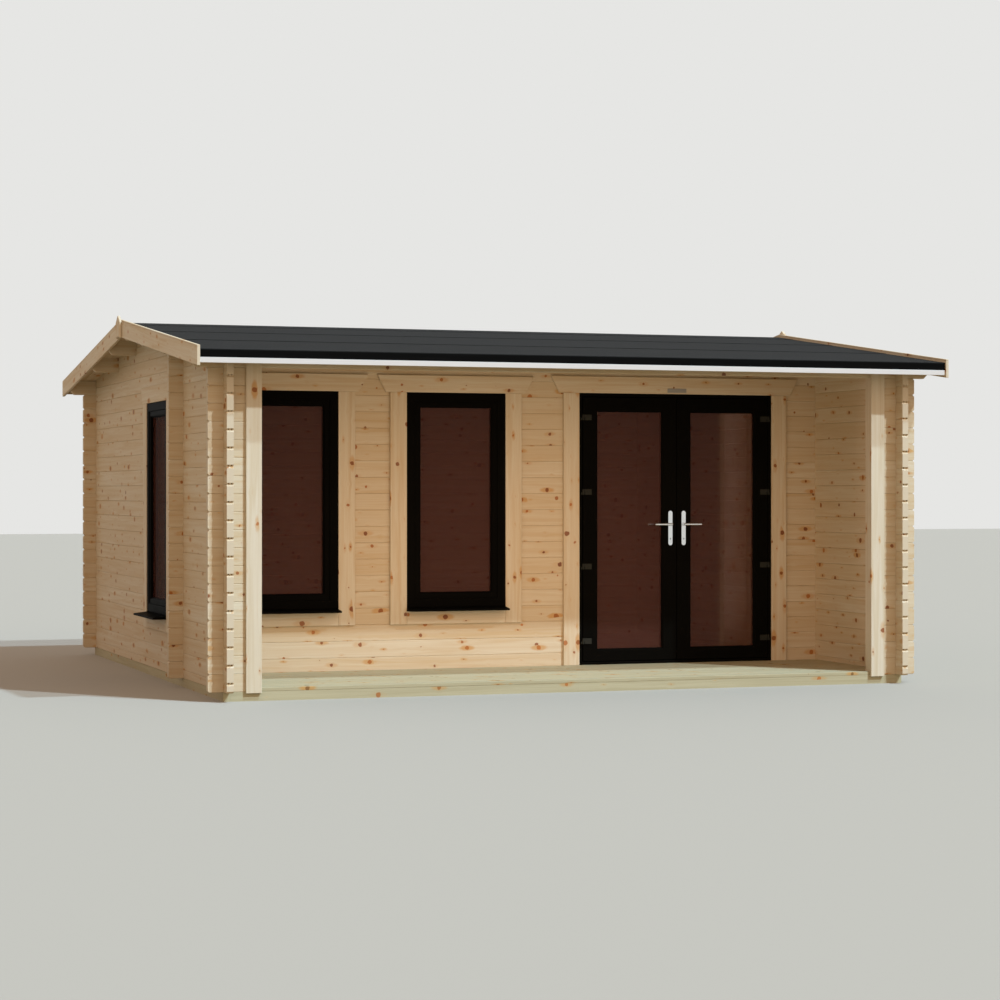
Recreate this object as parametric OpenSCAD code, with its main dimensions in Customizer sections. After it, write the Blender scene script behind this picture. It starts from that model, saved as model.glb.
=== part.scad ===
// Square log cabin with a porch under the front of its low gabled roof.
// Millimetres, Z up. The front faces -Y. The origin is on the ground under the middle of the roof.

/* [Logs] */
// Thickness of a wall log
log_t = 44; // [34:1:70]
// Height of one course of logs
log_h = 114; // [108:1:140]
// Length of a log's end past the wall that it crosses
log_end = 100; // [60:1:150]
// Chamfer across the ends of the logs
end_chamfer = 11; // [4:1:14]
// Chamfer along a log's edges, which makes the V joint
joint_v = 3; // [1:0.5:6]
// Width of each of a log's two tongues
tongue_w = 8; // [5:0.5:10]
// Height of the tongues
tongue_h = 9; // [5:0.5:12]
// Distance between the centres of the two tongues
tongue_step = 20; // [16:1:22]
// Height under which a gable's top log is left out
least_log = 20; // [10:1:40]

/* [Plan] */
// Width over the outer faces of the side walls
wall_w = 4790; // [4600:10:6000]
// Depth from the front of the porch returns to the back of the rear wall
wall_d = 4790; // [4000:10:6000]
// Depth of the porch, from the returns to the front wall
porch_d = 1250; // [900:10:1800]
// Number of log courses under the eaves beams
eaves_courses = 18; // [17:1:20]

/* [Base] */
// Height of the bearers that the cabin stands on
base_h = 60; // [40:1:100]
// Width of a bearer
bearer_w = 45; // [34:1:80]
// Number of bearers under the room between the front and rear walls
room_bearers = 5; // [3:1:9]
// Thickness of the floor and of the porch deck
floor_t = 24; // [18:1:32]

/* [Porch] */
// Width of the end posts of the porch returns
post_w = 100; // [80:1:140]
// Depth of the end posts
post_d = 88; // [70:1:120]
// Distance from a side wall's outer face to a post
post_in = 143; // [90:1:300]
// Depth that the logs of a return sit in the post's groove
post_groove = 58; // [30:1:70]
// Distance that a post's front lip hangs below the deck
post_lip = 32; // [0:1:50]

/* [Roof] */
// Pitch of the roof in degrees
roof_pitch = 7.1; // [4:0.1:15]
// Cut off the top of the eaves beams, over the faces of the walls
beam_cut = 4; // [2:1:20]
// Overhang of the bargeboards past the side walls
verge_out = 224; // [180:1:320]
// Overhang of the roof boards past the front and rear walls
eaves_out = 225; // [150:1:350]
// Thickness of the roof boards
roof_board_t = 19; // [16:1:28]
// Thickness of the roof felt
felt_t = 4; // [2:0.5:6]
// Height of the felt's fold over the fascia
felt_fold = 50; // [30:1:60]
// Height of the fascia boards
fascia_h = 84; // [70:1:110]
// Thickness of fascias and bargeboards
fascia_t = 20; // [15:1:28]
// Thickness of the drip strips
drip_t = 6; // [4:1:12]
// Depth of the bargeboards, measured plumb
barge_h = 116; // [90:1:160]
// Height of the bargeboards above the felt
barge_up = 12; // [2:1:30]
// Distance that the bargeboards run on past the fascias
barge_past = 13; // [8:1:40]
// Thickness of the capping on the bargeboards
cap_t = 10; // [6:1:16]
// Width of the plate over the joint of the bargeboards
apex_w = 150; // [80:1:200]
// Height of the plate's tip above the capping
apex_up = 30; // [15:1:60]
// Depth of a purlin under the roof boards
purlin_h = 105; // [70:1:114]
// Distance from the ridge to the upper purlins
upper_purlin_y = 600; // [300:10:900]
// Distance from the front wall's face to the lower purlin of the porch
purlin_past_wall = 195; // [120:5:300]
// Corner cut off the lower ends of beams and purlins
beam_chamfer = 26; // [10:1:40]
// Gap from the ends of beams and purlins to the bargeboards
beam_end_gap = 4; // [2:1:20]

/* [Windows] */
// Width of a window frame
window_w = 730; // [500:5:900]
// Number of courses under the front windows
window_course = 4; // [3:1:6]
// Drop from the eaves beam's underside to the window heads
window_drop = 90; // [60:1:200]
// Distance from the left wall's outer face to the first window's centre
window_1_in = 720; // [700:5:900]
// Distance between the centres of the front windows
window_step = 1225; // [1150:5:1500]
// Distance from the front of the returns to the side window's centre
side_window_y = 2105; // [1950:5:3500]
// Sight width of the window frames
frame_w = 60; // [40:1:80]
// Depth of window and door frames
frame_d = 70; // [60:1:90]
// Distance that the boards round windows and door stand in front of the frames
frame_set = 5; // [2:1:10]
// Sight width of the sashes in the windows
sash_w = 46; // [30:1:70]
// Depth of the sashes
sash_d = 54; // [40:1:60]
// Distance that the sashes stand back from the frames' front
sash_set = 6; // [2:1:8]
// Slope on the inner front edges of sashes and door leaves
bead = 12; // [4:1:16]
// Distance from the slope to the glass behind it
glass_set = 8; // [4:1:10]
// Thickness of the glass units
glass_t = 24; // [6:1:28]
// Thickness of the window sills
sill_t = 25; // [15:1:40]
// Projection of the sills from the wall
sill_out = 115; // [60:1:140]

/* [Door] */
// Width of the door frame
door_w = 1510; // [1300:5:1700]
// Drop from the eaves beam's underside to the door head
door_drop = 78; // [50:1:200]
// Distance from the right wall's outer face to the door's centre
door_in = 1165; // [1000:5:1400]
// Sight width of the door frame
door_frame_w = 24; // [22:1:60]
// Height of the door's threshold
threshold_h = 20; // [15:1:40]
// Width of the leaves' stiles
stile_w = 112; // [95:1:130]
// Height of the leaves' top rails
leaf_head_h = 104; // [80:1:150]
// Height of the leaves' bottom rails
door_rail_h = 88; // [80:1:200]
// Thickness of the door leaves
leaf_t = 50; // [40:1:55]
// Gap round the leaves
leaf_gap = 6; // [5:0.5:8]
// Bevel on the leaves' meeting edges, over their thickness
leaf_bevel = 6; // [4:0.5:8]
// Depth of the stops behind the leaves
stop_d = 12; // [8:1:14]

/* [Door hardware] */
// Number of hinges on a leaf
hinge_count = 4; // [3:1:5]
// Distance from a leaf's ends to its first hinges
hinge_in = 145; // [100:5:300]
// Height of a hinge
hinge_h = 40; // [36:1:70]
// Width of a hinge's flag on the leaf
hinge_w = 64; // [24:1:70]
// Width of a hinge's half on the frame
hinge_frame_w = 16; // [10:1:20]
// Height of the frame's half of a hinge
knuckle_h = 17; // [10:1:30]
// Gap between the two halves of a hinge
knuckle_gap = 1; // [0.5:0.5:2]
// Gap from the frame's barrel to the flag beside it
flag_gap = 5; // [5:0.5:8]
// Radius of a hinge's barrel
barrel_r = 8; // [6:0.5:9]
// Radius of a hinge's pin
pin_r = 4; // [3:0.5:5]
// Distance from the meeting line to the handles
handle_in = 52; // [45:1:60]
// Height of the lever's spindle over the floor
lever_z = 1006; // [900:1:1100]
// Width of a handle plate
plate_w = 32; // [30:1:40]
// Length of a handle plate
plate_h = 250; // [200:1:280]
// Distance from the spindle down to the middle of its plate
plate_drop = 27; // [0:1:50]
// Thickness of a handle plate
plate_t = 8; // [5:1:12]
// Distance from the spindle to the lock cylinder
lock_drop = 102; // [70:1:110]
// Radius of the lock cylinder
lock_r = 8; // [6:0.5:10]
// Projection of the lock cylinder from its plate
lock_out = 4; // [2:0.5:6]
// Length of a lever
lever_l = 125; // [90:1:140]
// Radius of a lever
lever_r = 8.5; // [6:0.5:10]
// Distance from a plate to the lever's axis
lever_out = 34; // [25:1:50]
// Radius of the spindle
spindle_r = 6; // [4:0.5:7]

/* [Trims] */
// Width of the boards round windows and door
trim_w = 120; // [90:1:140]
// Thickness of those boards
trim_t = 20; // [12:1:30]
// Height of the boards under the windows
apron_h = 92; // [60:1:140]
// Overhang of a head board's lower corners past the side boards
head_out = 32; // [10:1:60]
// Slant of a head board's ends
head_slant = 62; // [0:1:70]

/* [Fits] */
// Gap between pieces that lie against each other
seat = 0.4; // [0.2:0.1:0.8]
// Gap round pieces that sit in an opening
fit = 2; // [0.5:0.5:4]
// Gap round pins and spindles
run_fit = 0.5; // [0.2:0.1:1]

/* [Hidden] */
$fn = 48;
eps = 1;
tan_pitch = tan(roof_pitch);

// The planes that the cabin is set out from
half_w = wall_w / 2;
y_front = -wall_d / 2;
y_rear = wall_d / 2;
y_room = y_front + porch_d;
z_log = base_h;
z_floor = base_h + floor_t;
z_eaves = z_log + eaves_courses * log_h;

// Centres of the walls that cross, where the logs are notched
x_side = half_w - log_t / 2;
y_cross = [y_front + log_t / 2, y_room + log_t / 2, y_rear - log_t / 2];

// The roof's underside, which the eaves beams carry
z_roof = z_eaves + log_h - beam_cut;
z_ridge = z_roof + wall_d / 2 * tan_pitch;
board_rise = roof_board_t / cos(roof_pitch);
felt_rise = felt_t / cos(roof_pitch);
x_barge = half_w + verge_out;
x_roof = x_barge - fascia_t - seat;
x_beam = x_barge - fascia_t - beam_end_gap;
y_eaves = wall_d / 2 + eaves_out;
y_fascia = y_eaves + fascia_t;
y_barge = y_fascia + felt_t + barge_past;
gable_course = eaves_courses + 1;
top_course = ceil((z_ridge - least_log - z_log) / log_h + 0.5) - 1;
wall_top_course = ceil((z_ridge - z_log) / log_h);
lower_purlin_y = -y_room + purlin_past_wall;

// Windows
z_window = z_log + window_course * log_h;
window_h = z_eaves - window_drop - z_window;
window_xs = [-half_w + window_1_in, -half_w + window_1_in + window_step];
y_side_window = y_front + side_window_y;
half_course = log_h / 2;
frame_out = trim_t - frame_set;

// Door
door_x = half_w - door_in;
door_h = z_eaves - door_drop - z_floor;
y_door = y_room - frame_out;
leaf_w = door_w / 2 - door_frame_w - 1.5 * leaf_gap;
leaf_h = door_h - threshold_h - door_frame_w - 2 * leaf_gap;
z_leaf = z_floor + threshold_h + leaf_gap;
leaf_glass_w = leaf_w - 2 * stile_w;
leaf_glass_h = leaf_h - leaf_head_h - door_rail_h;
hinge_x = leaf_w + leaf_gap;
hinge_y = -barrel_r - 2 * run_fit;
hinge_step = (leaf_h - 2 * hinge_in) / (hinge_count - 1);
z_lever = z_floor + lever_z;

pine = "#d8c6a0";
treated = "#cdc8a0";
frame_black = "#111110";
glass_brown = "#4a2c24";
felt_grey = "#333333";
white = "#efefec";
silver = "#c9c9c9";

// Roof lines

// Height of the roof boards' underside at a depth
function roof_z(y) = z_ridge - abs(y) * tan_pitch;

// Everything over a line that lies under the roof boards by the given gap
module above_roof(gap) {
    reach = y_barge + log_h;
    points = [
        [-reach, roof_z(reach) - gap],
        [0, z_ridge - gap],
        [reach, roof_z(reach) - gap],
        [reach, z_ridge + 3 * log_h],
        [-reach, z_ridge + 3 * log_h]
    ];
    rotate([90, 0, 90])
        linear_extrude(2 * x_barge, center = true)
            polygon(points);
}

// A sheet that follows one slope of the roof, between two heights over the boards' underside.
// side is -1 on the front slope and 1 on the rear one
module slope_sheet(side, y_low, low, high, width, ridge_gap = seat / 2) {
    points = [
        [side * ridge_gap, roof_z(ridge_gap) + low],
        [side * y_low, roof_z(y_low) + low],
        [side * y_low, roof_z(y_low) + high],
        [side * ridge_gap, roof_z(ridge_gap) + high]
    ];
    rotate([90, 0, 90])
        linear_extrude(width, center = true)
            polygon(points);
}

// Logs

// A log's cross-section: V edges, two tongues on top and, where it has them, two grooves below
function log_section(h, grooved) =
    let (
        side = log_t / 2,
        top = h - seat,
        mid = tongue_step / 2,
        tongue = tongue_w / 2,
        groove = tongue_w / 2 + seat,
        depth = tongue_h + 2 * seat
    )
    concat(
        [[-side, joint_v], [-side + joint_v, 0]],
        [for (s = [-1, 1]) if (grooved) each [
            [s * mid - groove, 0],
            [s * mid - groove, depth],
            [s * mid + groove, depth],
            [s * mid + groove, 0]
        ]],
        [[side - joint_v, 0], [side, joint_v], [side, top - joint_v], [side - joint_v, top]],
        [for (s = [1, -1]) each [
            [s * mid + tongue, top],
            [s * mid + tongue, top + tongue_h],
            [s * mid - tongue, top + tongue_h],
            [s * mid - tongue, top]
        ]],
        [[-side + joint_v, top], [-side, top - joint_v]]
    );

// A log seen from the side: chamfered ends, and a notch a quarter of a course deep, above and below,
// at each wall that it crosses
function log_outline(a, b, h, crossings, notched_below) =
    let (
        top = h - seat,
        tip = top + tongue_h,
        half_notch = log_t / 2 + seat,
        below = log_h / 4 + seat / 2,
        above = h - log_h / 4 - seat / 2,
        last = len(crossings) - 1,
        c = end_chamfer
    )
    concat(
        [[a, c], [a + c, 0]],
        [for (x = crossings) if (notched_below) each [
            [x - half_notch, 0],
            [x - half_notch, below],
            [x + half_notch, below],
            [x + half_notch, 0]
        ]],
        [[b - c, 0], [b, c], [b, top - c], [b - c - tongue_h, tip]],
        [for (i = [last:-1:0]) each [
            [crossings[i] + half_notch, tip],
            [crossings[i] + half_notch, above],
            [crossings[i] - half_notch, above],
            [crossings[i] - half_notch, tip]
        ]],
        [[a + c + tongue_h, tip], [a, top - c]]
    );

// A log along X from a to b. The bottom of a half log lies on the bearers, so it has no notch there
module log(a, b, crossings, h = log_h) {
    whole = h == log_h;
    intersection() {
        translate([a, 0, 0])
            rotate([90, 0, 90])
                linear_extrude(b - a)
                    polygon(log_section(h, whole));
        rotate([90, 0, 0])
            linear_extrude(log_t + 2 * eps, center = true)
                polygon(log_outline(a, b, h, crossings, whole));
    }
}

// One course of a wall that runs across the cabin, on the wall's centre line at y
module cross_log(course, y, a, b, crossings) {
    translate([0, y, z_log + course * log_h])
        log(a, b, crossings);
}

// One course of a side wall. Course 0 is half a log, so that the corners lap
module side_log(course, x) {
    translate([x, 0, z_log + max(course - 0.5, 0) * log_h])
        rotate([0, 0, 90])
            log(y_front - log_end, y_rear + log_end, y_cross, course == 0 ? half_course : log_h);
}

// Pockets where purlins pass through a gable
module purlin_pockets() {
    grow = seat;
    for (y = [-lower_purlin_y, -upper_purlin_y, 0, upper_purlin_y, lower_purlin_y])
        translate([-x_barge, y - log_t / 2 - grow, roof_z(y) - purlin_h - grow])
            cube([2 * x_barge, log_t + 2 * grow, purlin_h + log_h]);
}

// Base

// Two bearers under the side walls, full depth
module side_bearers() {
    color(treated)
        for (x = [-half_w, half_w - bearer_w])
            translate([x, y_front, 0])
                cube([bearer_w, wall_d, base_h]);
}

// The front bearer, in two lengths that butt in the middle
module front_bearers() {
    length = half_w - bearer_w - 1.5 * seat;
    color(treated)
        for (x = [-half_w + bearer_w + seat, seat / 2])
            translate([x, y_front, 0])
                cube([length, bearer_w, base_h]);
}

// Bearers across the cabin: one in the porch, one under the front wall, those of the room and the rear one
module cross_bearers() {
    inner = wall_w - 2 * bearer_w - 2 * seat;
    room = wall_d - porch_d - bearer_w;
    step = room / (room_bearers + 1);
    ys = concat([y_front + porch_d / 2], [for (i = [0:room_bearers + 1]) y_room + i * step]);
    color(treated)
        for (y = ys)
            translate([-inner / 2, y, 0])
                cube([inner, bearer_w, base_h]);
}

// The room's floor, with a tongue that runs under the door frame
module room_floor() {
    inner = wall_w - 2 * log_t - 2 * fit;
    depth = wall_d - porch_d - 2 * log_t - 2 * fit;
    color(pine)
        translate([0, 0, base_h])
            linear_extrude(floor_t)
                union() {
                    translate([-inner / 2, y_room + log_t + fit])
                        square([inner, depth]);
                    translate([door_x - door_w / 2, y_room])
                        square([door_w, log_t + 2 * fit]);
                }
}

// The porch deck, notched at its front corners round the returns
module porch_deck() {
    inner = half_w - log_t - fit;
    notch_x = half_w - post_in - post_groove - fit;
    notch_y = y_front + log_t + fit;
    points = [
        [-notch_x, y_front],
        [notch_x, y_front],
        [notch_x, notch_y],
        [inner, notch_y],
        [inner, y_room - fit],
        [-inner, y_room - fit],
        [-inner, notch_y],
        [-notch_x, notch_y]
    ];
    color(treated)
        translate([0, 0, base_h])
            linear_extrude(floor_t)
                polygon(points);
}

// Walls

// The opening that the side window stands in
module side_window_opening() {
    translate([-half_w - eps, y_side_window - window_w / 2 - fit, z_window - half_course - sill_t - seat])
        cube([log_t + 2 * eps, window_w + 2 * fit, window_h + sill_t + fit]);
}

// The openings of the front windows and the door
module front_openings() {
    for (x = window_xs)
        translate([x - window_w / 2 - fit, y_room - eps, z_window - sill_t - seat])
            cube([window_w + 2 * fit, log_t + 2 * eps, window_h + sill_t + fit]);
    translate([door_x - door_w / 2 - fit, y_room - eps, z_log - eps])
        cube([door_w + 2 * fit, log_t + 2 * eps, floor_t + door_h + fit + eps]);
}

// The left wall up to the eaves, with the side window cut through
module left_wall() {
    color(pine)
        difference() {
            for (course = [0:eaves_courses])
                side_log(course, -x_side);
            side_window_opening();
        }
}

// The right wall up to the eaves
module right_wall() {
    color(pine)
        for (course = [0:eaves_courses])
            side_log(course, x_side);
}

// The logs over the eaves, cut to the slopes and pocketed for the purlins
module gable(x) {
    color(pine)
        difference() {
            for (course = [gable_course:top_course])
                side_log(course, x);
            above_roof(seat);
            purlin_pockets();
        }
}

module left_gable() {
    gable(-x_side);
}

module right_gable() {
    gable(x_side);
}

// Logs right across the cabin, from one course to another
module full_logs(y, first, last) {
    for (course = [first:last])
        cross_log(course, y, -half_w - log_end, half_w + log_end, [-x_side, x_side]);
}

// The rear wall up to the eaves beam
module rear_wall() {
    color(pine)
        full_logs(y_cross[2], 0, eaves_courses - 1);
}

// The front wall's lower courses, which windows and door cut into short logs
module front_wall() {
    color(pine)
        difference() {
            full_logs(y_cross[1], 0, eaves_courses - 2);
            front_openings();
        }
}

// The front wall's logs over the openings, the top one cut to the roof
module front_wall_head() {
    color(pine)
        difference() {
            full_logs(y_cross[1], eaves_courses - 1, wall_top_course);
            front_openings();
            above_roof(seat);
        }
}

// The short walls beside the porch's front, which end in the posts
module left_porch_return() {
    color(pine)
        for (course = [0:eaves_courses - 1])
            difference() {
                cross_log(course, y_cross[0], -half_w - log_end, -half_w + post_in + 2 * post_w, [-x_side]);
                translate([-half_w + post_in + post_groove - seat, y_front - eps, 0])
                    cube([3 * post_w, log_t + 2 * eps, z_ridge]);
            }
}

module right_porch_return() {
    mirror([1, 0, 0])
        left_porch_return();
}

// A post with a groove for the return's log ends. It stands on the deck under the beam,
// and its front lip covers the edges of the deck and of the beam
module porch_post() {
    lip = (post_d - log_t) / 2;
    translate([-half_w + post_in, y_front, 0])
        difference() {
            union() {
                translate([0, 0, z_floor])
                    cube([post_w, post_d - lip, z_eaves - z_floor - seat]);
                translate([0, -lip, z_floor - post_lip])
                    cube([post_w, lip - seat, roof_z(y_front - lip) - seat - z_floor + post_lip]);
                translate([post_groove + seat, -seat - eps, z_floor])
                    cube([post_w - post_groove - seat, 2 * eps, z_eaves - z_floor - seat]);
            }
            translate([-eps, -seat, z_floor - post_lip - eps])
                cube([post_groove + eps, log_t + 2 * seat, z_eaves]);
        }
}

// The left post and its mirror image
module porch_posts() {
    color(pine) {
        porch_post();
        mirror([1, 0, 0])
            porch_post();
    }
}

// Roof

// An eaves beam: the top log of the wall, run out to the bargeboards and bevelled to the roof
module eaves_beam(y) {
    color(pine)
        difference() {
            cross_log(eaves_courses, y, -x_beam, x_beam, [-x_side, x_side]);
            above_roof(seat);
            for (turn = [0, 180])
                translate([0, y, z_eaves])
                    rotate([0, 0, turn])
                        beam_corner();
        }
}

// The corner cut off the lower end of a beam
module beam_corner() {
    points = [
        [x_beam - beam_chamfer - eps, -eps],
        [x_beam + eps, -eps],
        [x_beam + eps, beam_chamfer + eps]
    ];
    rotate([90, 0, 0])
        linear_extrude(log_t + 2 * eps, center = true)
            polygon(points);
}

module porch_beam() {
    eaves_beam(y_cross[0]);
}

module rear_eaves_beam() {
    eaves_beam(y_cross[2]);
}

// A purlin under the boards, with the lower corners of its ends cut off
module purlin(y) {
    c = beam_chamfer;
    z = roof_z(y) - purlin_h;
    top = purlin_h + log_t;
    outline = [
        [-x_beam, c],
        [-x_beam + c, 0],
        [x_beam - c, 0],
        [x_beam, c],
        [x_beam, top],
        [-x_beam, top]
    ];
    difference() {
        translate([0, y + log_t / 2, z])
            rotate([90, 0, 0])
                linear_extrude(log_t)
                    polygon(outline);
        above_roof(seat);
    }
}

module ridge_purlin() {
    color(pine)
        purlin(0);
}

module slope_purlins() {
    color(pine)
        for (y = [-lower_purlin_y, -upper_purlin_y, upper_purlin_y, lower_purlin_y])
            purlin(y);
}

module front_roof_boards() {
    color(pine)
        slope_sheet(-1, y_eaves, 0, board_rise, 2 * x_roof);
}

module rear_roof_boards() {
    color(pine)
        slope_sheet(1, y_eaves, 0, board_rise, 2 * x_roof);
}

// The felt, one sheet over both slopes that folds down over the fascias
module roof_felt() {
    low = board_rise + seat;
    high = low + felt_rise;
    y_in = y_fascia + seat;
    y_out = y_in + felt_t;
    points = [
        [0, z_ridge + low],
        [y_in, roof_z(y_in) + low],
        [y_in, roof_z(y_in) + low - felt_fold],
        [y_out, roof_z(y_in) + low - felt_fold],
        [y_out, roof_z(y_out) + high],
        [0, z_ridge + high],
        [-y_out, roof_z(y_out) + high],
        [-y_out, roof_z(y_in) + low - felt_fold],
        [-y_in, roof_z(y_in) + low - felt_fold],
        [-y_in, roof_z(y_in) + low]
    ];
    color(felt_grey)
        rotate([90, 0, 90])
            linear_extrude(2 * x_roof, center = true)
                polygon(points);
}

// Boards that close the ends of the roof boards at both eaves
module eaves_fascias() {
    y_in = y_eaves + seat;
    top = roof_z(y_fascia) + board_rise;
    low = top - fascia_h;
    points = [[y_in, low], [y_fascia, low], [y_fascia, top], [y_in, roof_z(y_in) + board_rise]];
    color(pine)
        for (turn = [0, 180])
            rotate([0, 0, turn])
                rotate([90, 0, 90])
                    linear_extrude(2 * x_roof, center = true)
                        polygon(points);
}

// White strips on the fascias under the felt
module drip_strips() {
    top = roof_z(y_fascia) + board_rise - felt_fold - seat;
    height = fascia_h - felt_fold - seat;
    y_in = y_fascia + seat;
    color(white)
        for (turn = [0, 180])
            rotate([0, 0, turn])
                translate([-x_roof, y_in, top - height])
                    cube([2 * x_roof, drip_t, height]);
}

// The bargeboards of both gables, plumb at their ends and butted at the apex
module bargeboards() {
    high = board_rise + felt_rise + barge_up;
    color(pine)
        for (side = [-1, 1], end = [-1, 1])
            translate([end * (x_barge - fascia_t / 2), 0, 0])
                slope_sheet(side, y_barge, high - barge_h, high, fascia_t);
}

// Capping on the bargeboards' top edges. Its inner edge is flush with the boards' inner faces
module verge_caps() {
    low = board_rise + felt_rise + barge_up + seat;
    color(pine)
        for (side = [-1, 1], end = [-1, 1])
            translate([end * (x_barge - fascia_t / 2), 0, 0])
                slope_sheet(side, y_barge, low, low + cap_t, fascia_t);
}

// Plates over the bargeboards' joints, on their outer faces, with a pointed top
module apex_plates() {
    high = board_rise + felt_rise + barge_up;
    half = apex_w / 2;
    points = [
        [0, z_ridge + high - barge_h],
        [half, roof_z(half) + high - barge_h],
        [half, roof_z(half) + high],
        [0, z_ridge + high + cap_t + apex_up],
        [-half, roof_z(half) + high],
        [-half, roof_z(half) + high - barge_h]
    ];
    color(pine)
        for (turn = [0, 180])
            rotate([0, 0, turn])
                translate([x_barge + seat, 0, 0])
                    rotate([90, 0, 90])
                        linear_extrude(fascia_t)
                            polygon(points);
}

// Windows

// A ring in the XZ plane from y = 0 back, centred on X, with a slope on its inner front edges
module ring(w, h, bar, d, slope = 0) {
    inner_w = w - 2 * bar;
    inner_h = h - 2 * bar;
    difference() {
        translate([-w / 2, 0, 0])
            cube([w, d, h]);
        translate([-inner_w / 2, -eps, bar])
            cube([inner_w, d + 2 * eps, inner_h]);
        if (slope > 0)
            translate([0, 0, bar + inner_h / 2])
                sloped_opening(inner_w, inner_h, slope);
    }
}

// The slope round an opening, which is wider at the front by the slope on every side
module sloped_opening(w, h, slope) {
    front = slope + eps;
    across = [[-w / 2 - front, -eps], [w / 2 + front, -eps], [w / 2 - eps, front], [-w / 2 + eps, front]];
    upright = [[-eps, -h / 2 - front], [front, -h / 2 + eps], [front, h / 2 - eps], [-eps, h / 2 + front]];
    intersection() {
        linear_extrude(h + 2 * front, center = true)
            polygon(across);
        rotate([90, 0, 90])
            linear_extrude(w + 2 * front, center = true)
                polygon(upright);
    }
}

// What is given to a window, at the place of each window: two in the front wall and one in the left wall
module at_windows() {
    for (x = window_xs)
        translate([x, y_room, z_window])
            children();
    translate([-half_w, y_side_window, z_window - half_course])
        rotate([0, 0, -90])
            children();
}

module window_frames() {
    color(frame_black)
        at_windows()
            translate([0, -frame_out, 0])
                ring(window_w, window_h, frame_w, frame_d);
}

module window_sashes() {
    inset = frame_w + seat;
    color(frame_black)
        at_windows()
            translate([0, -frame_out + sash_set, inset])
                ring(window_w - 2 * inset, window_h - 2 * inset, sash_w - seat, sash_d, bead);
}

// Glass held in the sashes' inner edges
module window_glass() {
    inset = frame_w + sash_w + seat;
    y = -frame_out + sash_set + bead + glass_set;
    color(glass_brown)
        at_windows()
            translate([-window_w / 2 + inset, y, inset])
                cube([window_w - 2 * inset, glass_t, window_h - 2 * inset]);
}

// Sills under the frames, sloped to their front edge
module window_sills() {
    back = log_t - fit;
    nose = sill_t / 2;
    points = [
        [back, -sill_t],
        [-sill_out, -sill_t],
        [-sill_out, -sill_t + nose],
        [-frame_out, -seat],
        [back, -seat]
    ];
    color(frame_black)
        at_windows()
            rotate([90, 0, 90])
                linear_extrude(window_w, center = true)
                    polygon(points);
}

// A board over an opening, with slanted ends
module head_board(opening_w, z) {
    low = opening_w / 2 + trim_w + head_out;
    high = low + head_slant;
    translate([0, -seat, z])
        rotate([90, 0, 0])
            linear_extrude(trim_t)
                polygon([[-low, 0], [low, 0], [high, trim_w], [-high, trim_w]]);
}

// The boards beside an opening
module side_boards(opening_w, z_low, z_high) {
    for (x = [-opening_w / 2 - trim_w - seat, opening_w / 2 + seat])
        translate([x, -seat - trim_t, z_low])
            cube([trim_w, trim_t, z_high - z_low]);
}

// Head, side and bottom boards of every window
module window_trims() {
    color(pine)
        at_windows() {
            head_board(window_w, window_h + seat);
            side_boards(window_w, -sill_t - apron_h, window_h);
            translate([-window_w / 2, -seat - trim_t, -sill_t - apron_h])
                cube([window_w, trim_t, apron_h - seat]);
        }
}

// Door

// What is given, from the floor line at the middle of the doorway
module at_door() {
    translate([door_x, y_room, z_floor])
        children();
}

module door_trim() {
    color(pine)
        at_door() {
            head_board(door_w, door_h + seat);
            side_boards(door_w, 0, door_h);
        }
}

// Jambs, head and threshold, from y = 0 back. The opening is smaller by the inset on every side
module door_ring(inset, d) {
    bar = door_frame_w + inset;
    foot = threshold_h + inset;
    difference() {
        translate([-door_w / 2, 0, 0])
            cube([door_w, d, door_h]);
        translate([-door_w / 2 + bar, -eps, foot])
            cube([door_w - 2 * bar, d + 2 * eps, door_h - bar - foot]);
    }
}

// The door frame, with a stop behind the leaves
module door_frame() {
    color(frame_black)
        at_door()
            translate([0, -frame_out, 0]) {
                door_ring(0, frame_d);
                translate([0, frame_d - stop_d, 0])
                    door_ring(leaf_gap + stop_d, stop_d);
            }
}

// What is given to a leaf, from the foot of the meeting line on the leaves' front.
// A leaf lies on +X here, and the left one is its mirror image
module at_leaf(side) {
    translate([door_x, y_door, z_leaf])
        mirror([side < 0 ? 1 : 0, 0, 0])
            children();
}

// What is given to each hinge of a leaf, from the foot of the hinge on its axis
module at_hinges() {
    for (i = [0:hinge_count - 1])
        translate([hinge_x, hinge_y, hinge_in + i * hinge_step - hinge_h / 2])
            children();
}

// The frame's half of the hinges: a flag, a lower barrel and the pin
module frame_hinges() {
    color(frame_black)
        for (side = [-1, 1])
            at_leaf(side)
                at_hinges() {
                    cylinder(r = barrel_r, h = knuckle_h);
                    cylinder(r = pin_r, h = hinge_h - knuckle_gap);
                    cube([hinge_frame_w, -hinge_y - seat, knuckle_h]);
                }
}

// The leaf's half: a flag and an upper barrel round the pin
module leaf_hinges(side) {
    knuckle = knuckle_h + knuckle_gap;
    color(frame_black)
        at_leaf(side)
            at_hinges()
                difference() {
                    union() {
                        translate([0, 0, knuckle])
                            cylinder(r = barrel_r, h = hinge_h - knuckle);
                        translate([-hinge_w, 0, knuckle])
                            cube([hinge_w, -hinge_y - seat, hinge_h - knuckle]);
                        translate([-hinge_w, 0, 0])
                            cube([hinge_w - barrel_r - flag_gap, -hinge_y - seat, hinge_h]);
                    }
                    translate([0, 0, knuckle - eps])
                        cylinder(r = pin_r + run_fit, h = hinge_h);
                }
}

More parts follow.
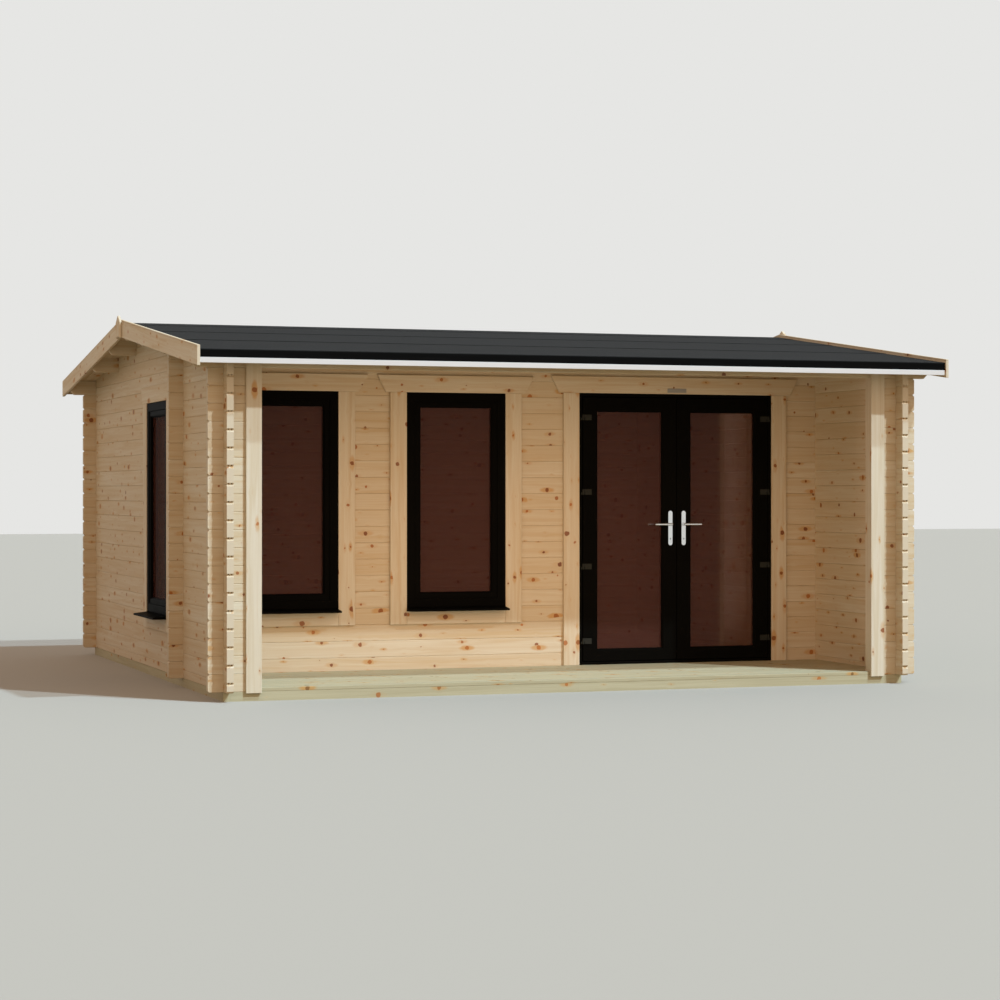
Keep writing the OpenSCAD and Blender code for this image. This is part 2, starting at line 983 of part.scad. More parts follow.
// A leaf: stiles and rails in one ring, its meeting edge bevelled so that it swings past the other
module door_leaf(side) {
    plan = [
        [leaf_gap / 2, 0],
        [leaf_gap / 2 + leaf_w, 0],
        [leaf_gap / 2 + leaf_w, leaf_t],
        [leaf_gap / 2 + leaf_bevel, leaf_t]
    ];
    x_mid = leaf_gap / 2 + leaf_w / 2;
    color(frame_black)
        at_leaf(side)
            difference() {
                linear_extrude(leaf_h)
                    polygon(plan);
                translate([x_mid - leaf_glass_w / 2, -eps, door_rail_h])
                    cube([leaf_glass_w, leaf_t + 2 * eps, leaf_glass_h]);
                translate([x_mid, 0, door_rail_h + leaf_glass_h / 2])
                    sloped_opening(leaf_glass_w, leaf_glass_h, bead);
                translate([handle_in, -eps, z_lever - z_leaf])
                    rotate([-90, 0, 0])
                        cylinder(r = spindle_r + 2 * run_fit, h = leaf_t + 2 * eps);
            }
}

module door_glass(side) {
    x_mid = leaf_gap / 2 + leaf_w / 2;
    w = leaf_glass_w - 2 * seat;
    color(glass_brown)
        at_leaf(side)
            translate([x_mid - w / 2, bead + glass_set, door_rail_h + seat])
                cube([w, glass_t, leaf_glass_h - 2 * seat]);
}

// A handle plate with round ends, its back on the leaf, and the end of the lock's cylinder
module handle_plate() {
    half = plate_h / 2 - plate_w / 2;
    z_mid = -plate_drop;
    rotate([90, 0, 0])
        difference() {
            union() {
                for (z = [z_mid - half, z_mid + half])
                    translate([0, z, 0])
                        cylinder(d = plate_w, h = plate_t);
                translate([-plate_w / 2, z_mid - half, 0])
                    cube([plate_w, 2 * half, plate_t]);
                translate([0, -lock_drop, 0])
                    cylinder(r = lock_r, h = plate_t + lock_out);
            }
            translate([0, 0, -eps])
                cylinder(r = spindle_r + run_fit, h = plate_t + 2 * eps);
        }
}

// The plates on both faces of a leaf
module door_handles(side) {
    color(silver)
        at_leaf(side)
            translate([handle_in, 0, z_lever - z_leaf]) {
                translate([0, -seat, 0])
                    handle_plate();
                translate([0, leaf_t + seat, 0])
                    mirror([0, 1, 0])
                        handle_plate();
            }
}

// The spindle with a lever at both ends
module door_lever(side) {
    reach = plate_t + seat + lever_out;
    color(silver)
        at_leaf(side)
            translate([handle_in, 0, z_lever - z_leaf]) {
                translate([0, -reach, 0])
                    rotate([-90, 0, 0])
                        cylinder(r = spindle_r, h = leaf_t + 2 * reach);
                for (y = [-reach, leaf_t + reach])
                    translate([0, y, 0]) {
                        sphere(r = lever_r);
                        rotate([0, 90, 0])
                            cylinder(r = lever_r, h = lever_l);
                        translate([lever_l, 0, 0])
                            sphere(r = lever_r);
                    }
            }
}

module left_door_leaf() { door_leaf(-1); }
module left_door_glass() { door_glass(-1); }
module left_door_hinges() { leaf_hinges(-1); }
module left_door_handles() { door_handles(-1); }
module left_door_lever() { door_lever(-1); }
module right_door_leaf() { door_leaf(1); }
module right_door_glass() { door_glass(1); }
module right_door_hinges() { leaf_hinges(1); }
module right_door_handles() { door_handles(1); }
module right_door_lever() { door_lever(1); }

side_bearers();
front_bearers();
cross_bearers();
room_floor();
porch_deck();
left_wall();
right_wall();
left_gable();
right_gable();
rear_wall();
front_wall();
front_wall_head();
left_porch_return();
right_porch_return();
porch_posts();
porch_beam();
rear_eaves_beam();
ridge_purlin();
slope_purlins();
front_roof_boards();
rear_roof_boards();
roof_felt();
eaves_fascias();
drip_strips();
bargeboards();
verge_caps();
apex_plates();
window_frames();
window_sashes();
window_glass();
window_sills();
window_trims();
door_trim();
door_frame();
frame_hinges();
left_door_leaf();
left_door_glass();
left_door_hinges();
left_door_handles();
left_door_lever();
right_door_leaf();
right_door_glass();
right_door_hinges();
right_door_handles();
right_door_lever();
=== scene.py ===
"""A square log cabin with a front porch, low felt roof and dark glazed doors, dressed on its CAD frame."""
import math

import bmesh
import bpy
from mathutils import Matrix, Vector


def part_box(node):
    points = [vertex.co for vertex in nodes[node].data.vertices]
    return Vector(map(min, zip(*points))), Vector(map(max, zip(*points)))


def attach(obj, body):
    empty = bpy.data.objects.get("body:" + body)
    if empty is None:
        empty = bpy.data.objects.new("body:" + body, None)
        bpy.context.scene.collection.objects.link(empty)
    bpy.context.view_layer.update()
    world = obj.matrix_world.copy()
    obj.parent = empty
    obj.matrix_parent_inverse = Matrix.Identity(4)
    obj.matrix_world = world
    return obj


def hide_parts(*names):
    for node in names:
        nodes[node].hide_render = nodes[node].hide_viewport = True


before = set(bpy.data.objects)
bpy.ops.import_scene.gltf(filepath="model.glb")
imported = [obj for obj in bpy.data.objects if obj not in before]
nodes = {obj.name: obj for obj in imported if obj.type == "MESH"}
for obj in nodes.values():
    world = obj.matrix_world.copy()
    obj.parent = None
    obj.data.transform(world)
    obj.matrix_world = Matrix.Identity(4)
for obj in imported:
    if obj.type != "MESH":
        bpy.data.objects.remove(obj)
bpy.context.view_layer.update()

# Camera
# It stands low in front of the cabin and left of it, level, with a long lens.
eye = Vector((-5.777, -17.608, 1.326))
yaw = math.radians(18.961)
focal_px = 2455.4
frame_px = 1000.0
sensor_mm = 36.0
horizon_px = 491.74

camera_data = bpy.data.cameras.new("camera")
camera_data.sensor_width = sensor_mm
camera_data.lens = focal_px / frame_px * sensor_mm
camera_data.shift_y = (horizon_px - frame_px / 2) / frame_px
camera = bpy.data.objects.new("camera", camera_data)
camera.location = eye
camera.rotation_euler = (math.pi / 2, 0, -yaw)
bpy.context.scene.collection.objects.link(camera)
bpy.context.scene.camera = camera


# Floor and light
# A pale studio floor and surround. The main lamp stands to the front right with a bluer one above it, so that
# the eaves shade the porch. Two broad warm lamps stand low in front, a soft box lights the porch from between
# its posts, and a narrow one the back of the right return, which the panes mirror in a dim surround.
def linear(code):
    """Linear colour from an sRGB hex value such as "#D8C29C"."""
    parts = [int(code[i:i + 2], 16) / 255 for i in (1, 3, 5)]
    return [c / 12.92 if c <= 0.04045 else ((c + 0.055) / 1.055) ** 2.4 for c in parts] + [1.0]


def add_node(tree, kind, links=None, **settings):
    """Add a node with its settings; links maps an input to a socket to join or a value to set."""
    made = tree.nodes.new(kind)
    for key, value in settings.items():
        setattr(made, key, value)
    for name, source in (links or {}).items():
        if isinstance(source, bpy.types.NodeSocket):
            tree.links.new(source, made.inputs[name])
        else:
            made.inputs[name].default_value = source
    return made


def new_material(name):
    """An empty material and its node tree."""
    made = bpy.data.materials.new(name)
    made.use_nodes = True
    made.node_tree.nodes.clear()
    return made, made.node_tree


def mesh_object(name, bm):
    """A mesh object at the origin from a bmesh."""
    mesh = bpy.data.meshes.new(name)
    bm.to_mesh(mesh)
    bm.free()
    made = bpy.data.objects.new(name, mesh)
    bpy.context.scene.collection.objects.link(made)
    return made


def ray_kinds(tree):
    """Whether a ray comes from the camera or a mirror, and whether that is a sharp mirror such as a pane."""
    path = add_node(tree, "ShaderNodeLightPath").outputs
    seen = add_node(tree, "ShaderNodeMath", {0: path["Is Camera Ray"], 1: path["Is Glossy Ray"]},
                    operation="MAXIMUM").outputs[0]
    return seen, path["Is Singular Ray"]


# A matt floor that looks pale, throws back a warmer light and is dark and dull in the panes
floor_half = 60
floor_gloss = 0.5
bm = bmesh.new()
bmesh.ops.create_grid(bm, x_segments=1, y_segments=1, size=floor_half)
studio_floor = mesh_object("studio_floor", bm)
pale_floor, tree = new_material("pale_floor")
seen, in_pane = ray_kinds(tree)
tone = add_node(tree, "ShaderNodeMix", {"Factor": seen, "A": linear("#8B795C"), "B": linear("#AEAAA2")},
                data_type="RGBA").outputs["Result"]
tone = add_node(tree, "ShaderNodeMix", {"Factor": in_pane, "A": tone, "B": linear("#3B3A37")},
                data_type="RGBA").outputs["Result"]
gloss = add_node(tree, "ShaderNodeMath", {0: in_pane, 1: -floor_gloss, 2: floor_gloss},
                 operation="MULTIPLY_ADD").outputs[0]
shader = add_node(tree, "ShaderNodeBsdfPrincipled", {
    "Base Color": tone, "Roughness": 0.9, "Specular IOR Level": gloss}).outputs[0]
add_node(tree, "ShaderNodeOutputMaterial", {"Surface": shader})
studio_floor.data.materials.append(pale_floor)

world = bpy.data.worlds.new("studio")
bpy.context.scene.world = world
world.use_nodes = True
tree = world.node_tree
tree.nodes.clear()
seen, in_pane = ray_kinds(tree)
warm_fill = (1.0, 0.76, 0.58, 1.0)
fill = add_node(tree, "ShaderNodeBackground", {"Color": warm_fill, "Strength": 0.55}).outputs[0]
pale = add_node(tree, "ShaderNodeBackground", {"Color": linear("#E6E6E4"), "Strength": 1.0}).outputs[0]
dim = add_node(tree, "ShaderNodeBackground", {"Color": linear("#464442"), "Strength": 1.0}).outputs[0]
surround = add_node(tree, "ShaderNodeMixShader", {0: seen, 1: fill, 2: pale}).outputs[0]
surround = add_node(tree, "ShaderNodeMixShader", {0: in_pane, 1: surround, 2: dim}).outputs[0]
add_node(tree, "ShaderNodeOutputWorld", {"Surface": surround})


def add_lamp(name, kind, along, energy, colour, **settings):
    """A lamp that shines along a direction."""
    data = bpy.data.lights.new(name, kind)
    data.energy = energy
    data.color = colour
    for key, value in settings.items():
        setattr(data, key, value)
    lamp = bpy.data.objects.new(name, data)
    lamp.rotation_euler = Vector(along).to_track_quat("-Z", "Y").to_euler()
    bpy.context.scene.collection.objects.link(lamp)
    return lamp


small_disc = math.radians(1.5)
wide_disc = math.radians(60)
narrow_beam = math.radians(30)
add_lamp("main_lamp", "SUN", along=(-0.436, 0.582, -0.686), energy=2.3, colour=(0.72, 0.90, 1.0),
         angle=small_disc)
add_lamp("high_lamp", "SUN", along=(-0.354, 0.395, -0.847), energy=2.0, colour=(0.58, 0.82, 1.0),
         angle=small_disc)
low_right = add_lamp("low_right_lamp", "SUN", along=(-0.45, 0.86, -0.23), energy=0.40,
                     colour=(1.0, 0.70, 0.48), angle=wide_disc)
low_left = add_lamp("low_left_lamp", "SUN", along=(0.55, 0.80, -0.23), energy=0.42,
                    colour=(1.0, 0.62, 0.36), angle=wide_disc)
porch_box = add_lamp("porch_box", "AREA", along=(0, 1, 0), energy=11.2, colour=(1.0, 0.66, 0.44),
                     shape="RECTANGLE", size=3.5, size_y=1.5)
porch_box.location = (-0.35, -2.42, 1.0)
wall_glow = add_lamp("wall_glow", "AREA", along=(0.17, -1, 0), energy=1.4, colour=(1.0, 0.69, 0.66),
                     shape="RECTANGLE", size=0.25, size_y=1.9, spread=narrow_beam)
wall_glow.location = (2.05, -1.33, 1.2)
for lamp in (low_right, low_left, porch_box, wall_glow):
    lamp.visible_glossy = False
    lamp.visible_camera = False
bpy.context.scene.view_settings.view_transform = "Standard"


# Timber
# Every board and log is softwood with its grain along its length: fine streaks, broad bands
# and round knots that the grain bends round. Sawn ends show growth rings instead.
ALONG_X = (0, 0, 0)
ALONG_Y = (0, 0, -math.pi / 2)
ALONG_Z = (0, math.pi / 2, 0)


def timber_axes(tree, turn, rows, pitch):
    """The point with its grain turned onto X, its run along and across the grain, and its row's tone."""
    row_shift = 3.71
    where = add_node(tree, "ShaderNodeTexCoord").outputs["Object"]
    if pitch:
        axes = add_node(tree, "ShaderNodeSeparateXYZ", {0: where}).outputs
        depth = add_node(tree, "ShaderNodeMath", {0: axes["Y"]}, operation="ABSOLUTE").outputs[0]
        level = add_node(tree, "ShaderNodeMath", {0: depth, 1: math.tan(pitch), 2: axes["Z"]},
                         operation="MULTIPLY_ADD").outputs[0]
        where = add_node(tree, "ShaderNodeCombineXYZ", {0: axes["X"], 1: axes["Y"], 2: level}).outputs[0]
    turned = add_node(tree, "ShaderNodeMapping", {"Vector": where, "Rotation": turn}).outputs[0]
    axes = add_node(tree, "ShaderNodeSeparateXYZ", {0: turned}).outputs
    run = axes["X"]
    across = add_node(tree, "ShaderNodeMath", {0: axes["Y"], 1: axes["Z"]}, operation="ADD").outputs[0]
    tone = None
    if rows:
        axis, start, width = rows
        count = add_node(tree, "ShaderNodeMath", {0: axes[axis], 1: start}, operation="SUBTRACT").outputs[0]
        count = add_node(tree, "ShaderNodeMath", {0: count, 1: width}, operation="DIVIDE").outputs[0]
        count = add_node(tree, "ShaderNodeMath", {0: count}, operation="FLOOR").outputs[0]
        tone = add_node(tree, "ShaderNodeTexWhiteNoise", {"W": count}, noise_dimensions="1D").outputs["Value"]
        run = add_node(tree, "ShaderNodeMath", {0: count, 1: row_shift, 2: run},
                       operation="MULTIPLY_ADD").outputs[0]
    return turned, run, across, tone


def timber_knots(tree, turned, run, across, knot_gap):
    """Uneven round knots up to 36 mm across, at most one to a cell of the face, each in a drawn-out stain.

    Gives the way to the nearest heart, its length, the shares of knot and stain, and random numbers.
    """
    knot_row = 0.07
    radius_gain = 0.020
    radius_start = -0.002
    wobble_size = 0.025
    wobble = 0.014
    rim_inner = -0.0015
    rim_outer = 0.002
    stain_inner = -0.002
    stain_outer = 0.011
    stain_squeeze = 0.35
    cell_run = add_node(tree, "ShaderNodeMath", {0: run, 1: 1 / knot_gap}, operation="MULTIPLY").outputs[0]
    cell_row = add_node(tree, "ShaderNodeMath", {0: across, 1: 1 / knot_row}, operation="MULTIPLY").outputs[0]
    cell = add_node(tree, "ShaderNodeCombineXYZ", {0: cell_run, 1: cell_row}).outputs[0]
    hearts = add_node(tree, "ShaderNodeTexVoronoi", {"Vector": cell, "Scale": 1.0, "Randomness": 1.0},
                      voronoi_dimensions="2D").outputs
    apart = add_node(tree, "ShaderNodeVectorMath", {0: cell, 1: hearts["Position"]},
                     operation="SUBTRACT").outputs[0]
    apart = add_node(tree, "ShaderNodeVectorMath", {0: apart, 1: (knot_gap, knot_row, 0)},
                     operation="MULTIPLY").outputs[0]
    uneven = add_node(tree, "ShaderNodeTexNoise", {
        "Vector": turned, "Scale": 1 / wobble_size, "Detail": 2.0}).outputs[1]
    apart = add_node(tree, "ShaderNodeVectorMath", {0: uneven, 1: (wobble, wobble, 0), 2: apart},
                     operation="MULTIPLY_ADD").outputs[0]
    reach = add_node(tree, "ShaderNodeVectorMath", {0: apart}, operation="LENGTH").outputs["Value"]
    chance = add_node(tree, "ShaderNodeSeparateColor", {0: hearts["Color"]}).outputs
    radius = add_node(tree, "ShaderNodeMath", {0: chance[0], 1: 2.0}, operation="POWER").outputs[0]
    radius = add_node(tree, "ShaderNodeMath", {0: radius, 1: radius_gain, 2: radius_start},
                      operation="MULTIPLY_ADD").outputs[0]
    rim = add_node(tree, "ShaderNodeMath", {0: reach, 1: radius}, operation="SUBTRACT").outputs[0]
    inside = add_node(tree, "ShaderNodeMapRange", {
        "Value": rim, "From Min": rim_inner, "From Max": rim_outer, "To Min": 1.0, "To Max": 0.0},
        interpolation_type="SMOOTHSTEP").outputs[0]
    drawn = add_node(tree, "ShaderNodeVectorMath", {0: apart, 1: (stain_squeeze, 1.0, 0)},
                     operation="MULTIPLY").outputs[0]
    drawn = add_node(tree, "ShaderNodeVectorMath", {0: drawn}, operation="LENGTH").outputs["Value"]
    drawn = add_node(tree, "ShaderNodeMath", {0: drawn, 1: radius}, operation="SUBTRACT").outputs[0]
    stain = add_node(tree, "ShaderNodeMapRange", {
        "Value": drawn, "From Min": stain_inner, "From Max": stain_outer, "To Min": 0.7, "To Max": 0.0},
        interpolation_type="SMOOTHSTEP").outputs[0]
    return apart, reach, inside, stain, chance


def timber_grain(tree, run, across, apart, reach):
    """Bands about 35 mm apart and streaks about 5 mm apart, drawn out along the log and bent round knots."""
    most_push = 0.014
    push_reach = 0.055
    push_core = 0.006
    band_gap = 0.035
    bands_per_metre = 0.9
    streak_gap = 0.005
    streaks_per_metre = 2.2
    aside = add_node(tree, "ShaderNodeSeparateXYZ", {0: apart}).outputs["Y"]
    near = add_node(tree, "ShaderNodeMath", {0: reach, 1: push_core}, operation="ADD").outputs[0]
    way = add_node(tree, "ShaderNodeMath", {0: aside, 1: near}, operation="DIVIDE").outputs[0]
    push = add_node(tree, "ShaderNodeMapRange", {
        "Value": reach, "From Min": 0.0, "From Max": push_reach, "To Min": most_push, "To Max": 0.0},
        interpolation_type="SMOOTHSTEP").outputs[0]
    bent = add_node(tree, "ShaderNodeMath", {0: way, 1: push}, operation="MULTIPLY").outputs[0]
    lines = add_node(tree, "ShaderNodeMath", {0: across, 1: bent}, operation="SUBTRACT").outputs[0]
    flow = add_node(tree, "ShaderNodeCombineXYZ", {0: run, 1: lines}).outputs[0]
    broad = add_node(tree, "ShaderNodeMapping", {
        "Vector": flow, "Scale": (bands_per_metre, 1 / band_gap, 1)}).outputs[0]
    bands = add_node(tree, "ShaderNodeTexNoise", {
        "Vector": broad, "Scale": 1.0, "Detail": 3.0, "Roughness": 0.6, "Distortion": 0.6},
        noise_dimensions="2D").outputs[0]
    narrow = add_node(tree, "ShaderNodeMapping", {
        "Vector": flow, "Scale": (streaks_per_metre, 1 / streak_gap, 1)}).outputs[0]
    streaks = add_node(tree, "ShaderNodeTexNoise", {"Vector": narrow, "Scale": 1.0, "Detail": 2.0},
                       noise_dimensions="2D").outputs[0]
    return bands, streaks


def timber_ends(tree, turn, turned):
    """Whether a face is a sawn end, and growth rings about 6 mm apart for it."""
    end_facing = 0.8
    ring_scale = 50.0
    normal = add_node(tree, "ShaderNodeNewGeometry").outputs["True Normal"]
    facing = add_node(tree, "ShaderNodeMapping", {"Vector": normal, "Rotation": turn},
                      vector_type="VECTOR").outputs[0]
    facing = add_node(tree, "ShaderNodeSeparateXYZ", {0: facing}).outputs["X"]
    facing = add_node(tree, "ShaderNodeMath", {0: facing}, operation="ABSOLUTE").outputs[0]
    is_end = add_node(tree, "ShaderNodeMath", {0: facing, 1: end_facing}, operation="GREATER_THAN").outputs[0]
    pith = add_node(tree, "ShaderNodeMapping", {"Vector": turned, "Scale": (0, 1, 1)}).outputs[0]
    rings = add_node(tree, "ShaderNodeTexWave", {
        "Vector": pith, "Scale": ring_scale, "Distortion": 2.5, "Detail": 2.0, "Detail Scale": 0.6},
        wave_type="RINGS", rings_direction="X").outputs["Fac"]
    return is_end, rings


def timber(name, turn, pale, streak, knot, sawn_end, rows=None, pitch=0.0, knot_gap=0.26, roughness=0.62):
    """Planed softwood. turn brings the grain onto X, and rows is the axis, start and width of its boards."""
    resin_amber = "#C08A3C"
    live_knot = "#B0692C"
    knot_share = 0.85
    ring_share = 0.3
    grain_depth = 0.0006
    made, tree = new_material(name)
    turned, run, across, tone = timber_axes(tree, turn, rows, pitch)
    apart, reach, inside, stain, chance = timber_knots(tree, turned, run, across, knot_gap)
    bands, streaks = timber_grain(tree, run, across, apart, reach)
    is_end, rings = timber_ends(tree, turn, turned)

    band_share = add_node(tree, "ShaderNodeMapRange", {
        "Value": bands, "From Min": 0.34, "From Max": 0.76, "To Min": 0.1, "To Max": 0.75}).outputs[0]
    streak_share = add_node(tree, "ShaderNodeMapRange", {
        "Value": streaks, "From Min": 0.45, "From Max": 0.75, "To Max": 0.5}).outputs[0]
    share = add_node(tree, "ShaderNodeMath", {0: band_share, 1: streak_share}, operation="MAXIMUM").outputs[0]
    colour = add_node(tree, "ShaderNodeMix", {"Factor": share, "A": linear(pale), "B": linear(streak)},
                      data_type="RGBA").outputs["Result"]

    # Some logs and boards are a little darker than their neighbours
    if rows:
        shade = add_node(tree, "ShaderNodeMapRange", {"Value": tone, "To Max": 0.4}).outputs[0]
        colour = add_node(tree, "ShaderNodeMix", {"Factor": shade, "A": colour, "B": linear(streak)},
                          data_type="RGBA").outputs["Result"]

    # Resin stains the wood amber round a knot, and knots are red-brown or dark
    resin = add_node(tree, "ShaderNodeMath", {0: stain, 1: chance[1]}, operation="MULTIPLY").outputs[0]
    colour = add_node(tree, "ShaderNodeMix", {"Factor": resin, "A": colour, "B": linear(resin_amber)},
                      data_type="RGBA").outputs["Result"]
    heart = add_node(tree, "ShaderNodeMix", {"Factor": chance[2], "A": linear(live_knot), "B": linear(knot)},
                     data_type="RGBA").outputs["Result"]
    dark = add_node(tree, "ShaderNodeMath", {0: inside, 1: knot_share}, operation="MULTIPLY").outputs[0]
    colour = add_node(tree, "ShaderNodeMix", {"Factor": dark, "A": colour, "B": heart},
                      data_type="RGBA").outputs["Result"]

    # Growth rings on sawn ends
    ring = add_node(tree, "ShaderNodeMath", {0: rings, 1: ring_share}, operation="MULTIPLY").outputs[0]
    end_colour = add_node(tree, "ShaderNodeMix", {"Factor": ring, "A": linear(sawn_end), "B": linear(streak)},
                          data_type="RGBA").outputs["Result"]
    colour = add_node(tree, "ShaderNodeMix", {"Factor": is_end, "A": colour, "B": end_colour},
                      data_type="RGBA").outputs["Result"]

    bump = add_node(tree, "ShaderNodeBump", {
        "Strength": 0.25, "Distance": grain_depth, "Height": streaks}).outputs[0]
    rough = add_node(tree, "ShaderNodeMapRange", {
        "Value": bands, "To Min": roughness - 0.06, "To Max": roughness + 0.08}).outputs[0]
    shader = add_node(tree, "ShaderNodeBsdfPrincipled", {
        "Base Color": colour, "Roughness": rough, "Normal": bump, "Specular IOR Level": 0.3}).outputs[0]
    add_node(tree, "ShaderNodeOutputMaterial", {"Surface": shader})
    return made


def spruce(name, turn, **more):
    """Untreated spruce: cream, with honey streaks and red-brown knots."""
    return timber(name, turn, "#D8D0BE", "#C4AA82", "#6B2A0C", "#CFC5B2", **more)


def treated_spruce(name, turn, **more):
    """Pressure-treated spruce: dull green-yellow, with darker knots."""
    return timber(name, turn, "#B9B397", "#A2997B", "#5A4728", "#B3AE90", roughness=0.72, **more)


# Base
# Pressure-treated bearers on the ground carry everything. Those under the side walls run from
# front to back, and the others butt between them.
def finish_node(name, material):
    """Give a CAD node its material."""
    slots = nodes[name].data.materials
    slots.clear()
    slots.append(material)


bearer_knot_gap = 0.45
treated_x = treated_spruce("treated_spruce_across", ALONG_X, knot_gap=bearer_knot_gap)
treated_y = treated_spruce("treated_spruce_deep", ALONG_Y, knot_gap=bearer_knot_gap)
finish_node("side_bearers", treated_y)
finish_node("front_bearers", treated_x)
finish_node("cross_bearers", treated_x)


# Porch deck
# Treated boards with eased edges, screwed down across the porch with a narrow gap between them.
# The first board is notched round the returns.
def verts_in(geom):
    """The vertices among what an operator gives back."""
    return [v for v in geom if isinstance(v, bmesh.types.BMVert)]


def round_edges(bm, edges, radius, segments=2, clamp=False):
    """Bevel edges to a radius."""
    bmesh.ops.bevel(bm, geom=edges, offset=radius, offset_type="OFFSET", affect="EDGES", segments=segments,
                    profile=0.5, material=-1, clamp_overlap=clamp)


def board_rows(bm, low, high, count, gap, radius, notch=None):
    """Add boards along X in rows from low to high. notch cuts both ends of the first board's front."""
    shortest_run = 0.5
    whole = bmesh.new()
    pitch = (high[1] - low[1] + gap) / count
    left, right = low[0], high[0]
    for i in range(count):
        front = low[1] + i * pitch
        back = front + pitch - gap
        outline = [(left, front), (right, front), (right, back), (left, back)]
        if notch and i == 0:
            inset, step = notch[0], front + notch[1]
            outline = [(left + inset, front), (right - inset, front), (right - inset, step), (right, step),
                       (right, back), (left, back), (left, step), (left + inset, step)]
        face = whole.faces.new([whole.verts.new((x, y, low[2])) for x, y in outline])
        top = verts_in(bmesh.ops.extrude_face_region(whole, geom=[face])["geom"])
        bmesh.ops.translate(whole, verts=top, vec=(0, 0, high[2] - low[2]))
    bmesh.ops.recalc_face_normals(whole, faces=whole.faces)
    long_edges = [e for e in whole.edges if abs(e.verts[0].co.x - e.verts[1].co.x) > shortest_run]
    round_edges(whole, long_edges, radius)
    rows = bpy.data.meshes.new("rows")
    whole.to_mesh(rows)
    whole.free()
    bm.from_mesh(rows)
    bpy.data.meshes.remove(rows)


deck_count = 10
deck_gap = 0.004
deck_edge = 0.003
deck_fit = 0.002
deck_low, deck_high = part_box("porch_deck")
return_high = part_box("left_porch_return")[1]
deck_notch = (return_high[0] + deck_fit - deck_low[0], return_high[1] + deck_fit - deck_low[1])
deck_width = (deck_high[1] - deck_low[1] + deck_gap) / deck_count
treated_deck = treated_spruce("treated_spruce_deck", ALONG_X, rows=("Y", deck_low[1], deck_width))
bm = bmesh.new()
board_rows(bm, deck_low, deck_high, deck_count, deck_gap, deck_edge, deck_notch)
deck_boards = mesh_object("deck_boards", bm)
deck_boards.data.materials.append(treated_deck)
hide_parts("porch_deck")
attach(deck_boards, "cabin")

# Room floor
# Tongued spruce boards over the bearers, tight to each other with a small V between.
# A last strip runs under the door frame.
floor_count = 29
floor_gap = 0.0006
floor_edge = 0.0015
floor_low, floor_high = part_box("room_floor")
door_low, door_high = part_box("door_frame")
room_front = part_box("front_wall")[1][1] + deck_fit
room_low = (floor_low[0], room_front, floor_low[2])
strip_low = (door_low[0], floor_low[1], floor_low[2])
strip_high = (door_high[0], room_front - floor_gap, floor_high[2])
floor_width = (floor_high[1] - room_front + floor_gap) / floor_count
spruce_floor = spruce("spruce_floor_boards", ALONG_X, rows=("Y", room_front, floor_width))
bm = bmesh.new()
board_rows(bm, room_low, floor_high, floor_count, floor_gap, floor_edge)
board_rows(bm, strip_low, strip_high, 1, 0.0, floor_edge)
floor_boards = mesh_object("floor_boards", bm)
floor_boards.data.materials.append(spruce_floor)
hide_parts("room_floor")
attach(floor_boards, "cabin")

# Log walls
# Planed spruce logs with double tongues, notched where walls cross so that the corners lock.
# The side walls start with half a log, so their joints lie half a course off the others.
log_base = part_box("front_wall")[0][2]
log_height = 0.114
logs_x = spruce("spruce_logs_across", ALONG_X, rows=("Z", log_base, log_height))
logs_y = spruce("spruce_logs_deep", ALONG_Y, rows=("Z", log_base - log_height / 2, log_height))
for name in ("front_wall", "front_wall_head", "rear_wall", "left_porch_return", "right_porch_return",
             "porch_beam", "rear_eaves_beam"):
    finish_node(name, logs_x)
for name in ("left_wall", "right_wall", "left_gable", "right_gable"):
    finish_node(name, logs_y)


# Porch posts
# A planed post is grooved over the log ends of each return, and its front lip covers
# the edges of the deck and of the beam. Its spruce is paler and has fewer knots.
def grain_by_length(bm):
    """Give each solid the first, second or third material as its longest side lies along X, Y or Z."""
    left = set(bm.faces)
    while left:
        solid = {left.pop()}
        fresh = list(solid)
        while fresh:
            beside = {f for e in fresh.pop().edges for f in e.link_faces} - solid
            solid |= beside
            fresh += beside
        left -= solid
        corners = [v.co for f in solid for v in f.verts]
        spans = [max(c[i] for c in corners) - min(c[i] for c in corners) for i in range(3)]
        for face in solid:
            face.material_index = spans.index(max(spans))


def softened(node, name, radius, materials, body="cabin"):
    """A copy of a CAD node with its sharp edges rounded, in the node's place.

    Of three materials, each solid takes the one whose grain runs along its longest side.
    """
    same_point = 1e-5
    flat_angle = math.radians(1)
    sharp_angle = math.radians(25)
    bm = bmesh.new()
    bm.from_mesh(nodes[node].data)
    bmesh.ops.remove_doubles(bm, verts=bm.verts, dist=same_point)
    bmesh.ops.dissolve_limit(bm, angle_limit=flat_angle, verts=bm.verts, edges=bm.edges)
    sharp = [e for e in bm.edges if len(e.link_faces) == 2 and e.calc_face_angle() > sharp_angle]
    round_edges(bm, sharp, radius, clamp=True)
    if len(materials) == 3:
        grain_by_length(bm)
    made = mesh_object(name, bm)
    for material in materials:
        made.data.materials.append(material)
    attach(made, body)
    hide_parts(node)


post_edge = 0.003
post_spruce = timber("pale_spruce_posts", ALONG_Z, "#D8D0C0", "#C6B698", "#6B2A0C", "#CFC5B2", knot_gap=0.4)
softened("porch_posts", "post_pair", post_edge, [post_spruce])

# Purlins
# Planed beams from gable to gable that carry the roof boards. Their lower end corners are cut off
# where they show under the verges.
spruce_x = spruce("spruce_across", ALONG_X)
finish_node("ridge_purlin", spruce_x)
finish_node("slope_purlins", spruce_x)

